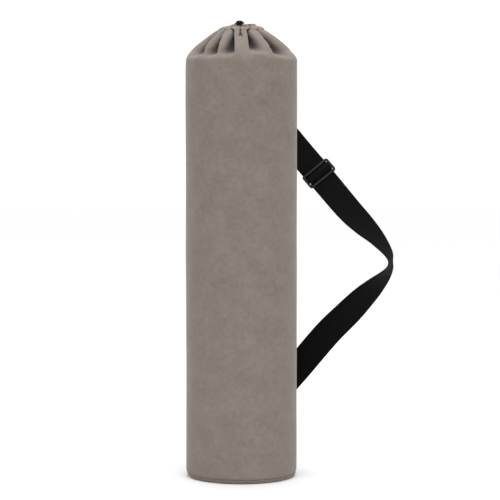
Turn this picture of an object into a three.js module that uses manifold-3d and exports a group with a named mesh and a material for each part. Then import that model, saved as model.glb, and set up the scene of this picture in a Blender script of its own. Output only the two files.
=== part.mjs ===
import * as THREE from 'three';
import Module from 'manifold-3d';
import { mergeVertices } from 'three/addons/utils/BufferGeometryUtils.js';

// Yoga mat bag: a cloth tube with a gathered drawstring top and a webbing strap.
// Millimetres, +Z up, origin on the floor under the middle of the base, front towards -Y.

// Bag sizes
const bagRadius = 82;
const clothWall = 1.3;
const shoulderHeight = 614;
const gatherHeight = 55;
const tubeSections = 1;

// Base sizes
const baseSeamHeight = 6;
const baseCornerRise = 14;
const baseCornerReach = 6;
const baseCornerSteps = 3;
const baseSides = 48;

// Mouth sizes
const mouthRadius = 10.7;
const hemDepth = 9;
const hemFold = 3;
const cordDiameter = 2.2;
const cordSteps = 64;
const cordSides = 6;

// Stopper sizes
const stopperDiameter = 8.4;
const stopperHeight = 13.6;
const stopperStickOut = 2.8;
const buttonDiameter = 9.2;
const buttonHeight = 2.6;
const stopperLeft = 3.2;
const stopperForward = 5.1;
const stopperSides = 16;
const bightLength = 3.6;

// Strap sizes
const strapWidth = 41;
const webbingThickness = 1.3;
const strapReach = 228.5;
const strapSpread = 527;
const strapMiddleHeight = 315.6;
const liftOffDegrees = 12;
const strapStep = 11;
const seatedStep = 5.5;
const seatedLength = 62;
const strapColumns = 4;

// Slider and ring sizes
const sliderDistance = 199;
const sliderLength = 23.4;
const sliderBar = 3.8;
const sliderThickness = 2.6;
const sliderChamfer = 0.7;
const sliderCornerRadius = 2;
const ringDistance = 71;
const ringPitch = 12;
const ringWire = 3;
const ringCornerRadius = 2;
const ringSides = 8;
const cornerSteps = 3;

// Clearances
const clearance = 0.3;
const sideClearance = 0.4;

// Outline of the gathered top. Rise is a share of the gather's height, reach a share of the
// bag's radius at the ridges, and sink the depth of a full fold as a share of the bag's radius.
const gatherRows = [
  { rise: 0.00, reach: 1.000, sink: 0.000 },
  { rise: 0.07, reach: 0.994, sink: 0.000 },
  { rise: 0.14, reach: 0.975, sink: 0.008 },
  { rise: 0.21, reach: 0.943, sink: 0.030 },
  { rise: 0.29, reach: 0.892, sink: 0.075 },
  { rise: 0.38, reach: 0.833, sink: 0.120 },
  { rise: 0.48, reach: 0.756, sink: 0.150 },
  { rise: 0.58, reach: 0.672, sink: 0.165 },
  { rise: 0.68, reach: 0.592, sink: 0.165 },
  { rise: 0.78, reach: 0.503, sink: 0.150 },
  { rise: 0.87, reach: 0.415, sink: 0.115 },
  { rise: 0.94, reach: 0.318, sink: 0.065 },
];

// The folds round the bag. Foot and head are degrees from the front, towards the strap side,
// at the shoulder and at the mouth. Depth is a share of a full fold, start a share of the rise.
const folds = [
  { foot: -57.0, head: -62.0, depth: 0.75, start: 0.10 },
  { foot: -33.0, head: -40.0, depth: 0.95, start: 0.12 },
  { foot: -12.5, head: -19.0, depth: 1.00, start: 0.16 },
  { foot: 1.0, head: -3.0, depth: 0.55, start: 0.62 },
  { foot: 16.0, head: 15.0, depth: 0.95, start: 0.18 },
  { foot: 45.0, head: 41.0, depth: 0.95, start: 0.08 },
  { foot: 76.0, head: 71.0, depth: 0.80, start: 0.10 },
  { foot: 103.0, head: 100.0, depth: 0.90, start: 0.14 },
  { foot: 129.0, head: 128.0, depth: 0.85, start: 0.10 },
  { foot: 156.0, head: 154.0, depth: 1.00, start: 0.16 },
  { foot: 183.0, head: 181.0, depth: 0.85, start: 0.12 },
  { foot: 209.0, head: 208.0, depth: 0.95, start: 0.15 },
  { foot: 235.0, head: 234.0, depth: 0.80, start: 0.10 },
  { foot: 259.0, head: 257.0, depth: 0.95, start: 0.13 },
  { foot: 281.0, head: 278.0, depth: 0.85, start: 0.12 },
];

// Columns of the cloth from one fold's valley to the next. Along is the share of the way there,
// own and next say how much of each fold's depth is left at that place.
const foldColumns = [
  { along: 0.00, own: 1.00, next: 0.00 },
  { along: 0.17, own: 0.52, next: 0.00 },
  { along: 0.36, own: 0.00, next: 0.00 },
  { along: 0.64, own: 0.00, next: 0.00 },
  { along: 0.83, own: 0.00, next: 0.52 },
];
const foldRamp = 0.22;
const steepestStretch = 2;

// Route of the strap from its upper end to its lower end. Out is a share of the strap's reach,
// measured round the bag from the back seam, rise a share of half its spread above its middle,
// and turn the degrees that its face is turned from the camera side to the outside.
const strapRoute = [
  { out: -0.060, rise: 1.062, turn: 0 },
  { out: 0.070, rise: 0.932, turn: 0 },
  { out: 0.180, rise: 0.822, turn: 0 },
  { out: 0.225, rise: 0.779, turn: 0 },
  { out: 0.300, rise: 0.706, turn: 9 },
  { out: 0.380, rise: 0.629, turn: 21 },
  { out: 0.445, rise: 0.566, turn: 24 },
  { out: 0.510, rise: 0.503, turn: 24 },
  { out: 0.608, rise: 0.404, turn: 25 },
  { out: 0.722, rise: 0.292, turn: 32 },
  { out: 0.814, rise: 0.214, turn: 45 },
  { out: 0.897, rise: 0.146, turn: 62 },
  { out: 0.959, rise: 0.083, turn: 75 },
  { out: 0.992, rise: 0.038, turn: 84 },
  { out: 1.000, rise: 0.000, turn: 90 },
  { out: 0.991, rise: -0.038, turn: 82 },
  { out: 0.955, rise: -0.084, turn: 68 },
  { out: 0.893, rise: -0.141, turn: 51 },
  { out: 0.811, rise: -0.211, turn: 34 },
  { out: 0.713, rise: -0.298, turn: 19 },
  { out: 0.595, rise: -0.399, turn: 10 },
  { out: 0.490, rise: -0.503, turn: 4 },
  { out: 0.380, rise: -0.618, turn: 0 },
  { out: 0.175, rise: -0.822, turn: 0 },
  { out: -0.060, rise: -1.056, turn: 0 },
];

const clothColour = 0x8b8178;
const baseColour = 0x82786f;
const webbingColour = 0x1c1c1e;
const metalColour = 0x17171a;
const cordColour = 0x0d0d0e;
const plasticColour = 0x101012;

const wasm = await Module();
wasm.setup();

// Meshes from rings of points

function signedVolume(points, faces) {
  let six = 0;
  for (let i = 0; i < faces.length; i += 3) {
    const a = points[faces[i]];
    const b = points[faces[i + 1]];
    const c = points[faces[i + 2]];
    six += a.dot(new THREE.Vector3().crossVectors(b, c));
  }
  return six / 6;
}

function solidFrom(points, faces) {
  if (signedVolume(points, faces) < 0) {
    faces.reverse();
  }
  const geometry = new THREE.BufferGeometry().setFromPoints(points);
  geometry.setIndex(faces);
  geometry.computeVertexNormals();
  return geometry;
}

// Joins rings with the same number of points. An open row of rings gets a cap at each end.
function ringSolid(rings, closed) {
  const count = rings[0].length;
  const points = rings.flat();
  const faces = [];
  const last = closed ? rings.length : rings.length - 1;
  for (let i = 0; i < last; i += 1) {
    const low = i * count;
    const high = ((i + 1) % rings.length) * count;
    for (let j = 0; j < count; j += 1) {
      const k = (j + 1) % count;
      faces.push(low + j, low + k, high + k);
      faces.push(low + j, high + k, high + j);
    }
  }
  if (!closed) {
    const end = (rings.length - 1) * count;
    for (let j = 0; j < count / 2 - 1; j += 1) {
      const far = count - 1 - j;
      faces.push(j, far, j + 1);
      faces.push(j + 1, far, far - 1);
      faces.push(end + j, end + j + 1, end + far);
      faces.push(end + j + 1, end + far - 1, end + far);
    }
  }
  return solidFrom(points, faces);
}

function toManifold(geometry) {
  const bare = geometry.clone();
  bare.deleteAttribute('normal');
  bare.deleteAttribute('uv');
  const merged = mergeVertices(bare, 1e-4);
  return new wasm.Manifold(new wasm.Mesh({
    numProp: 3,
    vertProperties: new Float32Array(merged.attributes.position.array),
    triVerts: new Uint32Array(merged.index.array),
  }));
}

function fromManifold(solid) {
  const mesh = solid.getMesh();
  const geometry = new THREE.BufferGeometry();
  geometry.setAttribute('position', new THREE.BufferAttribute(mesh.vertProperties, 3));
  geometry.setIndex(new THREE.BufferAttribute(mesh.triVerts, 1));
  geometry.computeVertexNormals();
  return geometry;
}

function part(name, geometry, colour, roughness, metalness) {
  const material = new THREE.MeshStandardMaterial({ color: colour, roughness, metalness });
  const mesh = new THREE.Mesh(geometry, material);
  mesh.name = name;
  return mesh;
}

// Bag body

function smoothStep(from, to, value) {
  const t = THREE.MathUtils.clamp((value - from) / (to - from), 0, 1);
  return t * t * (3 - 2 * t);
}

function cornerRadius(height) {
  const drop = Math.max(0, (baseCornerRise - height) / baseCornerRise);
  return bagRadius - baseCornerReach + baseCornerReach * Math.sqrt(1 - drop * drop);
}

function foldAngle(index, rise) {
  const turns = Math.floor(index / folds.length);
  const fold = folds[index % folds.length];
  return fold.foot + (fold.head - fold.foot) * rise + 360 * turns;
}

function foldDepth(index, rise) {
  const fold = folds[index % folds.length];
  return fold.depth * smoothStep(fold.start, fold.start + foldRamp, rise);
}

// Angle and share of fold depth of every column at one rise
function columnsAt(rise) {
  const columns = [];
  for (let k = 0; k < folds.length; k += 1) {
    const from = foldAngle(k, rise);
    const gap = foldAngle(k + 1, rise) - from;
    for (const step of foldColumns) {
      const sunk = step.own * foldDepth(k, rise) + step.next * foldDepth(k + 1, rise);
      columns.push({ angle: THREE.MathUtils.degToRad(from + gap * step.along), sunk });
    }
  }
  return columns;
}

function around(radius, angle, height) {
  return new THREE.Vector3(radius * Math.sin(angle), -radius * Math.cos(angle), height);
}

function row(radius, height, sink, rise) {
  return columnsAt(rise).map((c) => around(radius - sink * c.sunk, c.angle, height));
}

function radiusOf(point) {
  return Math.hypot(point.x, point.y);
}

// The inner side of one row of cloth, set in by the wall along the outline's own normal, and
// further where the cloth runs steeply into a fold
function innerRow(outer, below, above) {
  const count = outer.length;
  const ridge = Math.floor(foldColumns.length / 2);
  const climb = above[ridge].z - below[ridge].z;
  const draw = radiusOf(below[ridge]) - radiusOf(above[ridge]);
  const slant = Math.hypot(climb, draw);
  return outer.map((point, j) => {
    const before = outer[(j + count - 1) % count];
    const after = outer[(j + 1) % count];
    const fall = Math.abs(radiusOf(after) - radiusOf(before));
    const stretch = Math.min(steepestStretch, Math.hypot(1, fall / before.distanceTo(after)));
    const inset = clothWall * stretch;
    const radius = radiusOf(point) - inset * climb / slant;
    return around(radius, Math.atan2(point.x, -point.y), point.z - inset * draw / slant);
  });
}

const rimHeight = shoulderHeight + gatherHeight;
const channelInner = mouthRadius + clothWall;
const channelOuter = channelInner + cordDiameter + 2 * clearance;
const cordRadius = cordDiameter / 2;
const cordRing = (channelInner + channelOuter) / 2;
const cordHeight = rimHeight - clothWall - clearance - cordRadius;
const hemValley = channelOuter + clothWall;
const hemRidge = hemValley + hemFold;
const flapEnd = rimHeight - hemDepth;
const hemRound = clothWall / 2;

function bagBody() {
  const outer = [];
  const bodyFoot = baseSeamHeight + clearance;
  for (let i = 0; i < baseCornerSteps; i += 1) {
    const height = bodyFoot + (baseCornerRise - bodyFoot) * i / baseCornerSteps;
    outer.push(row(cornerRadius(height), height, 0, 0));
  }
  for (let i = 0; i < tubeSections; i += 1) {
    const height = baseCornerRise + (shoulderHeight - baseCornerRise) * i / tubeSections;
    outer.push(row(bagRadius, height, 0, 0));
  }
  for (const r of gatherRows) {
    const height = shoulderHeight + gatherHeight * r.rise;
    outer.push(row(bagRadius * r.reach, height, bagRadius * r.sink, r.rise));
  }

  const rim = [
    row(hemRidge, rimHeight - 3 * hemRound, hemFold, 1),
    row(hemRidge - hemRound, rimHeight - hemRound, hemFold - hemRound, 1),
    row(cordRing, rimHeight, 0, 1),
    row(mouthRadius + hemRound, rimHeight - hemRound, 0, 1),
    row(mouthRadius, rimHeight - 3 * hemRound, 0, 1),
    row(mouthRadius, flapEnd, 0, 1),
    row(channelInner, flapEnd, 0, 1),
    row(channelInner, cordHeight, 0, 1),
    row(channelInner + clearance, rimHeight - clothWall, 0, 1),
    row(channelOuter - clearance, rimHeight - clothWall, 0, 1),
    row(channelOuter, cordHeight, 0, 1),
    row(channelOuter, cordHeight - cordDiameter, 0, 1),
  ];

  const inner = [];
  for (let i = 1; i < outer.length; i += 1) {
    const above = i + 1 < outer.length ? outer[i + 1] : rim[0];
    inner.push(innerRow(outer[i], outer[i - 1], above));
  }
  const foot = row(cornerRadius(bodyFoot) - clothWall, bodyFoot, 0, 0);
  return ringSolid([...outer, ...rim, ...inner.reverse(), foot], true);
}

// Base panel

function basePanel() {
  const profile = [new THREE.Vector2(0, 0), new THREE.Vector2(cornerRadius(0), 0)];
  for (let i = 1; i <= baseCornerSteps; i += 1) {
    const height = baseSeamHeight * i / baseCornerSteps;
    profile.push(new THREE.Vector2(cornerRadius(height), height));
  }
  profile.push(new THREE.Vector2(cornerRadius(baseSeamHeight) - clothWall, baseSeamHeight));
  profile.push(new THREE.Vector2(cornerRadius(0), clothWall + clearance));
  profile.push(new THREE.Vector2(cornerRadius(0) - clothWall, clothWall));
  profile.push(new THREE.Vector2(0, clothWall));
  const lathe = new THREE.LatheGeometry(profile, baseSides);
  lathe.rotateX(Math.PI / 2);
  return fromManifold(toManifold(lathe));
}

// Cord stopper

const stopperTop = rimHeight + stopperStickOut;
const stopperHoleHeight = stopperTop - cordDiameter;

function cordStopper() {
  const half = stopperDiameter / 2;
  const round = stopperDiameter / 8;
  const buttonHalf = buttonDiameter / 2;
  const crown = 0.7;
  const profile = [
    new THREE.Vector2(0, stopperTop - stopperHeight),
    new THREE.Vector2(half - round, stopperTop - stopperHeight),
    new THREE.Vector2(half, stopperTop - stopperHeight + round),
    new THREE.Vector2(half, stopperTop - round),
    new THREE.Vector2(half - round, stopperTop),
    new THREE.Vector2(buttonHalf, stopperTop),
    new THREE.Vector2(buttonHalf, stopperTop + buttonHeight * (1 - crown / 2)),
    new THREE.Vector2(buttonHalf * crown, stopperTop + buttonHeight * (1 + crown) / 2),
    new THREE.Vector2(0, stopperTop + buttonHeight),
  ];
  const barrel = new THREE.LatheGeometry(profile, stopperSides);
  barrel.rotateX(Math.PI / 2);
  const holeAcross = 2 * (cordDiameter + clearance) + clearance;
  const holeUp = cordDiameter + 2 * clearance;
  const hole = new THREE.BoxGeometry(stopperDiameter * 2, holeAcross, holeUp);
  hole.translate(0, 0, stopperHoleHeight);
  const solid = toManifold(barrel).subtract(toManifold(hole));
  const geometry = fromManifold(solid);
  geometry.translate(-stopperLeft, -stopperForward, 0);
  return geometry;
}

// Drawcord

// Degrees from the front: where the cord leaves the hem on its way to the stopper, and where
// each strand then rises inside the mouth
const hemFrom = -62;
const hemTo = 228;
const hemSteps = 22;
const dipTurn = 14;
const frontRise = -88;
const backRise = 250;

// One strand, from the hem under the hem's edge, up inside the mouth and into the stopper
function strand(side, dipDegrees, riseDegrees) {
  const dipAngle = THREE.MathUtils.degToRad(dipDegrees);
  const riseAngle = THREE.MathUtils.degToRad(riseDegrees);
  const inside = mouthRadius - cordRadius - 2 * clearance;
  const underHem = flapEnd - cordRadius - 2 * clearance;
  const y = -stopperForward + side * (cordDiameter + clearance) / 2;
  const stopperEdge = stopperDiameter / 2;
  return [
    around(cordRing, dipAngle, cordHeight - cordDiameter),
    around(cordRing, (2 * dipAngle + riseAngle) / 3, underHem + cordRadius),
    around((channelInner + mouthRadius) / 2, riseAngle, underHem),
    around(inside, riseAngle, underHem + cordDiameter),
    around(inside, riseAngle, stopperHoleHeight - cordDiameter - cordRadius),
    new THREE.Vector3(-stopperLeft - stopperEdge - cordRadius - clearance, y, stopperHoleHeight),
    new THREE.Vector3(-stopperLeft, y, stopperHoleHeight),
    new THREE.Vector3(-stopperLeft + stopperEdge, y, stopperHoleHeight),
  ];
}

// One closed loop: round the mouth in the hem, and both strands through the stopper to a bight
function cordPath() {
  const bightEnd = -stopperLeft + stopperDiameter / 2 + bightLength - cordRadius;
  const inHem = [];
  for (let i = 0; i <= hemSteps; i += 1) {
    const degrees = hemFrom + (hemTo - hemFrom) * i / hemSteps;
    inHem.push(around(cordRing, THREE.MathUtils.degToRad(degrees), cordHeight));
  }
  const back = strand(1, hemTo + dipTurn, backRise);
  const bight = new THREE.Vector3(bightEnd, -stopperForward, stopperHoleHeight);
  const front = strand(-1, hemFrom - dipTurn, frontRise).reverse();
  return new THREE.CatmullRomCurve3([...inHem, ...back, bight, ...front], true);
}

function drawcord() {
  const path = cordPath();
  const frames = path.computeFrenetFrames(cordSteps, true);
  const rings = [];
  for (let i = 0; i < cordSteps; i += 1) {
    const centre = path.getPointAt(i / cordSteps);
    const ring = [];
    for (let j = 0; j < cordSides; j += 1) {
      const angle = 2 * Math.PI * j / cordSides;
      ring.push(centre.clone()
        .addScaledVector(frames.normals[i], cordRadius * Math.cos(angle))
        .addScaledVector(frames.binormals[i], cordRadius * Math.sin(angle)));
    }
    rings.push(ring);
  }
  return ringSolid(rings, true);
}

// Strap route

const halfSpread = strapSpread / 2;
const routeLine = new THREE.SplineCurve(strapRoute.map((r) => (
  new THREE.Vector2(r.out * strapReach, strapMiddleHeight + r.rise * halfSpread))));
routeLine.arcLengthDivisions = 600;
const routeTurn = new THREE.SplineCurve(strapRoute.map((r, i) => new THREE.Vector2(i, r.turn)));
const routeLength = routeLine.getLength();

// A place given by its distance round the bag from the back seam, its height, and its distance
// off the cloth. Past the lift-off line the strap leaves the round bag in a flat plane.
function rolled(out, height, off) {
  const liftOff = THREE.MathUtils.degToRad(liftOffDegrees);
  const angle = Math.min(out / bagRadius, liftOff);
  const beyond = out - angle * bagRadius;
  const radius = bagRadius + off;
  return new THREE.Vector3(
    Math.sin(angle) * radius + Math.cos(angle) * beyond,
    Math.cos(angle) * radius - Math.sin(angle) * beyond,
    height,
  );
}

// A place on the strap: along its route, off its face on the camera side, and across it
function onStrap(along, face, across) {
  const t = routeLine.getUtoTmapping(0, THREE.MathUtils.clamp(along, 0, routeLength));
  const centre = routeLine.getPoint(t);
  const tangent = routeLine.getTangent(t);
  const turn = THREE.MathUtils.degToRad(routeTurn.getPoint(t).y);
  const side = across * Math.cos(turn) + face * Math.sin(turn);
  const off = across * Math.sin(turn) - face * Math.cos(turn);
  return rolled(centre.x - tangent.y * side, centre.y + tangent.x * side, off);
}

function placeOnStrap(mesh, along, face) {
  const origin = onStrap(along, face, 0);
  const across = onStrap(along, face, 1).sub(origin).normalize();
  const off = onStrap(along, face + 1, 0).sub(origin).normalize();
  const forward = new THREE.Vector3().crossVectors(across, off);
  const matrix = new THREE.Matrix4().makeBasis(forward, across, off).setPosition(origin);
  mesh.applyMatrix4(matrix);
  return mesh;
}

// Webbing

const halfThickness = webbingThickness / 2;
const nearLayer = -(clearance + halfThickness);
const farLayer = nearLayer - webbingThickness - clearance;
const ringWrap = ringWire / 2 + clearance + halfThickness;
const ringFace = nearLayer - ringWrap;
const barReach = Math.hypot(sliderBar / 2, sliderThickness / 2 - sliderChamfer);
const barWrap = barReach + clearance + halfThickness;
const overWrap = barWrap + webbingThickness + clearance;
const sliderFace = nearLayer + barWrap;
const barPitch = (sliderLength - sliderBar) / 2;
const strapEndRing = ringDistance + ringPitch;

// Degrees round the middle bar at which the sewn eye starts and ends
const eyeFrom = -72;
const eyeTo = 200;
const bendStep = 34;

function arcPoints(path, along, face, radius, fromDegrees, toDegrees) {
  const steps = Math.ceil(Math.abs(toDegrees - fromDegrees) / bendStep);
  for (let i = 0; i <= steps; i += 1) {
    const degrees = fromDegrees + (toDegrees - fromDegrees) * i / steps;
    const angle = THREE.MathUtils.degToRad(degrees);
    path.push(new THREE.Vector2(along + radius * Math.cos(angle), face + radius * Math.sin(angle)));
  }
}

function isSeated(along) {
  return along < seatedLength || along > routeLength - seatedLength;
}

// Splits long stretches, so that the webbing can bend and turn with its route, with short
// steps where it lies on the round of the bag
function subdivided(path) {
  const points = [path[0]];
  for (let i = 1; i < path.length; i += 1) {
    const length = path[i].distanceTo(path[i - 1]);
    let done = 0;
    while (done < length) {
      const along = path[i - 1].x + (path[i].x - path[i - 1].x) * done / length;
      const step = isSeated(along) ? seatedStep : strapStep;
      const lastStep = step * 1.5;
      done = length - done < lastStep ? length : done + step;
      points.push(path[i - 1].clone().lerp(path[i], done / length));
    }
  }
  return points;
}

// Webbing that follows a line drawn along and off the strap's route
function webbing(line) {
  const path = subdivided(line);
  const half = strapWidth / 2;
  const rings = path.map((point, i) => {
    const before = path[Math.max(i - 1, 0)];
    const after = path[Math.min(i + 1, path.length - 1)];
    const way = after.clone().sub(before).normalize();
    const faces = [halfThickness, -halfThickness].map((offset) => {
      const along = point.x - way.y * offset;
      const face = point.y + way.x * offset;
      const edge = [];
      for (let c = 0; c <= strapColumns; c += 1) {
        edge.push(onStrap(along, face, -half + strapWidth * c / strapColumns));
      }
      return edge;
    });
    return [...faces[0], ...faces[1].reverse()];
  });
  return ringSolid(rings, false);
}

function strapWebbing() {
  const steep = THREE.MathUtils.radToDeg(Math.asin((barWrap + overWrap) / barPitch));
  const centre = sliderDistance;
  const path = [new THREE.Vector2(routeLength, nearLayer)];
  // Behind the first bar, over the middle one and behind the last
  arcPoints(path, centre + barPitch, sliderFace, barWrap, -90, -90 - steep);
  arcPoints(path, centre, sliderFace, overWrap, 90 - steep, 90 + steep);
  arcPoints(path, centre - barPitch, sliderFace, barWrap, -90 + steep, -90);
  // Round the ring and back behind the first layer
  arcPoints(path, strapEndRing, ringFace, ringWrap, 90, 270);
  path.push(new THREE.Vector2(strapEndRing + ringPitch, farLayer));
  path.push(new THREE.Vector2(centre - barPitch + sliderBar, farLayer));
  // The sewn eye round the middle bar
  arcPoints(path, centre, sliderFace, barWrap, eyeFrom, eyeTo);
  return webbing(path);
}

function ringTab() {
  const path = [new THREE.Vector2(0, nearLayer)];
  arcPoints(path, ringDistance, ringFace, ringWrap, 90, -90);
  path.push(new THREE.Vector2(ringDistance - ringPitch, farLayer));
  path.push(new THREE.Vector2(0, farLayer));
  return webbing(path);
}

// Slider and ring

// A closed rectangular frame. The section's points are given outwards and up.
function wireFrame(along, across, radius, section) {
  const x = along / 2 - radius;
  const y = across / 2 - radius;
  const outline = new THREE.Path();
  outline.absarc(x, -y, radius, -Math.PI / 2, 0);
  outline.absarc(x, y, radius, 0, Math.PI / 2);
  outline.absarc(-x, y, radius, Math.PI / 2, Math.PI);
  outline.absarc(-x, -y, radius, Math.PI, 1.5 * Math.PI);
  const path = outline.getPoints(cornerSteps);
  const rings = path.map((point, i) => {
    const before = path[(i + path.length - 1) % path.length];
    const after = path[(i + 1) % path.length];
    const way = after.clone().sub(before).normalize();
    return section.map((s) => (
      new THREE.Vector3(point.x + way.y * s.x, point.y - way.x * s.x, s.y)));
  });
  return ringSolid(rings, true);
}

function barSection() {
  const wide = sliderBar / 2;
  const tall = sliderThickness / 2;
  const corners = [];
  for (const [x, y] of [[1, -1], [1, 1], [-1, 1], [-1, -1]]) {
    const first = new THREE.Vector2(x * wide, y * (tall - sliderChamfer));
    const second = new THREE.Vector2(x * (wide - sliderChamfer), y * tall);
    corners.push(...(x * y < 0 ? [second, first] : [first, second]));
  }
  return corners;
}

function strapSlider() {
  const section = barSection();
  const across = strapWidth + 2 * sideClearance + sliderBar;
  const frame = wireFrame(2 * barPitch, across, sliderCornerRadius, section);
  const ends = [-across / 2, across / 2];
  const middle = ringSolid(ends.map((y) => section.map((s) => new THREE.Vector3(s.x, y, s.y))), false);
  return fromManifold(toManifold(frame).add(toManifold(middle)));
}

function strapRing() {
  const section = [];
  for (let j = 0; j < ringSides; j += 1) {
    const angle = 2 * Math.PI * (j + 0.5) / ringSides;
    section.push(new THREE.Vector2(Math.cos(angle), Math.sin(angle)).multiplyScalar(ringWire / 2));
  }
  const across = strapWidth + 2 * sideClearance + ringWire;
  return wireFrame(ringPitch, across, ringCornerRadius, section);
}

// Assembly

const bag = new THREE.Group();
bag.add(part('bag_body', bagBody(), clothColour, 0.95, 0));
bag.add(part('base_panel', basePanel(), baseColour, 0.95, 0));
bag.add(part('drawcord', drawcord(), cordColour, 0.8, 0));
bag.add(part('cord_stopper', cordStopper(), plasticColour, 0.5, 0));
bag.add(part('strap_webbing', strapWebbing(), webbingColour, 0.85, 0));
bag.add(part('ring_tab', ringTab(), webbingColour, 0.85, 0));
bag.add(placeOnStrap(
  part('strap_slider', strapSlider(), metalColour, 0.35, 0.8), sliderDistance, sliderFace));
bag.add(placeOnStrap(
  part('strap_ring', strapRing(), metalColour, 0.35, 0.8), ringDistance + ringPitch / 2, ringFace));

export default bag;
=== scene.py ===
import math

import bmesh
import bpy
from mathutils import Matrix, Vector, noise


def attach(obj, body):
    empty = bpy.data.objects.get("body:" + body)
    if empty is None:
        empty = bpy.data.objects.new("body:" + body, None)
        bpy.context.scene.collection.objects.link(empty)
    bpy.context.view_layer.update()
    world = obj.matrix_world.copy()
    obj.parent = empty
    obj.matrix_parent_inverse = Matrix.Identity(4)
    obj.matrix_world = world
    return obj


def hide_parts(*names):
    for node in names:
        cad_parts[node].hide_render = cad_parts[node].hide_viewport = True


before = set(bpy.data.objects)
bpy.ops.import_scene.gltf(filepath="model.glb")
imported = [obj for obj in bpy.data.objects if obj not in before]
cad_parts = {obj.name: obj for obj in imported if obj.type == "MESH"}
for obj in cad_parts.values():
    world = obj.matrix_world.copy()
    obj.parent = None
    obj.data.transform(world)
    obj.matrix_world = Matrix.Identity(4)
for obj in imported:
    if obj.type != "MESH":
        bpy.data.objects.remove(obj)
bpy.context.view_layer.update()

# Studio. A pale floor in white surroundings, one very broad light in front and above, and a
# soft one overhead that catches the top of the bag. The long lens stands level with the bag's
# shoulder and looks slightly down.
camera_data = bpy.data.cameras.new("camera")
camera_data.lens = 175.9
camera_data.sensor_width = 36
camera = bpy.data.objects.new("camera", camera_data)
camera.location = (0.0127, -3.6, 0.6348)
camera.rotation_euler = (math.radians(90 - 4.7356), 0, 0)
bpy.context.scene.collection.objects.link(camera)
bpy.context.scene.camera = camera
bpy.context.scene.view_settings.view_transform = "Standard"

surroundings = bpy.data.worlds.new("surroundings")
surroundings.use_nodes = True
sky = surroundings.node_tree
seen = sky.nodes.new("ShaderNodeLightPath")
shown_white = sky.nodes.new("ShaderNodeBackground")
shown_white.inputs["Color"].default_value = (1, 1, 1, 1)
shown_white.inputs["Strength"].default_value = 1.05
lighting = sky.nodes["Background"]
lighting.inputs["Color"].default_value = (1, 1, 1, 1)
lighting.inputs["Strength"].default_value = 0.72
either = sky.nodes.new("ShaderNodeMixShader")
sky.links.new(seen.outputs["Is Camera Ray"], either.inputs[0])
sky.links.new(lighting.outputs[0], either.inputs[1])
sky.links.new(shown_white.outputs[0], either.inputs[2])
sky.links.new(either.outputs[0], sky.nodes["World Output"].inputs["Surface"])
bpy.context.scene.world = surroundings


def add_light(name, kind, place, target, size, power):
    data = bpy.data.lights.new(name, kind)
    if kind == "SUN":
        data.angle = size
    else:
        data.shape = "DISK"
        data.size = size
    data.energy = power
    light = bpy.data.objects.new(name, data)
    light.location = place
    light.rotation_euler = (Vector(target) - Vector(place)).to_track_quat("-Z", "Y").to_euler()
    bpy.context.scene.collection.objects.link(light)


add_light("light_front", "SUN", (0.22, -2.4, 2.9), (0, 0, 0.3), math.radians(70), 1.9)
add_light("light_overhead", "AREA", (0, 0.35, 1.9), (0, 0, 0.6), 1.2, 14)

floor_mesh = bmesh.new()
bmesh.ops.create_grid(floor_mesh, x_segments=1, y_segments=1, size=6)
floor_data = bpy.data.meshes.new("floor")
floor_mesh.to_mesh(floor_data)
floor_mesh.free()
floor = bpy.data.objects.new("floor", floor_data)
bpy.context.scene.collection.objects.link(floor)
floor_paint = bpy.data.materials.new("pale_floor")
floor_paint.use_nodes = True
floor_shader = floor_paint.node_tree.nodes["Principled BSDF"]
floor_shader.inputs["Base Color"].default_value = (0.87, 0.87, 0.87, 1)
floor_shader.inputs["Roughness"].default_value = 0.8
floor_data.materials.append(floor_paint)

# Bag body. One piece of brushed canvas, sewn into a tube down the back. Its top is turned in
# and stitched as a hem, and the drawcord in the hem draws the last stretch of the tube into
# deep folds over the shoulder that the rolled mat leaves.
bag_radius = 0.082
cloth_wall = 0.0013
clearance = 0.0003
shoulder_height = 0.614
gather_height = 0.055
rim_height = shoulder_height + gather_height
base_seam_height = 0.006
base_corner_rise = 0.014
base_corner_reach = 0.006
body_foot = base_seam_height + clearance
seam_fold = 10
columns_per_fold = 20
seam_column = seam_fold * columns_per_fold
seam_dip = 0.0008

# Rise as a share of the gather, reach of the ridges and depth of a full fold as shares of the
# bag's radius, and half the width of a fold as a share of the way to the next one
gather_rows = (
    (0.00, 1.000, 0.000, 0.42), (0.07, 0.994, 0.010, 0.42), (0.14, 0.975, 0.060, 0.42),
    (0.21, 0.943, 0.150, 0.40), (0.29, 0.890, 0.240, 0.36), (0.38, 0.829, 0.295, 0.31),
    (0.48, 0.752, 0.310, 0.27), (0.58, 0.668, 0.285, 0.24), (0.68, 0.584, 0.230, 0.19),
    (0.78, 0.488, 0.180, 0.13), (0.87, 0.400, 0.145, 0.14), (0.94, 0.300, 0.075, 0.16),
    (0.965, 0.233, 0.043, 0.16),
)

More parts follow.
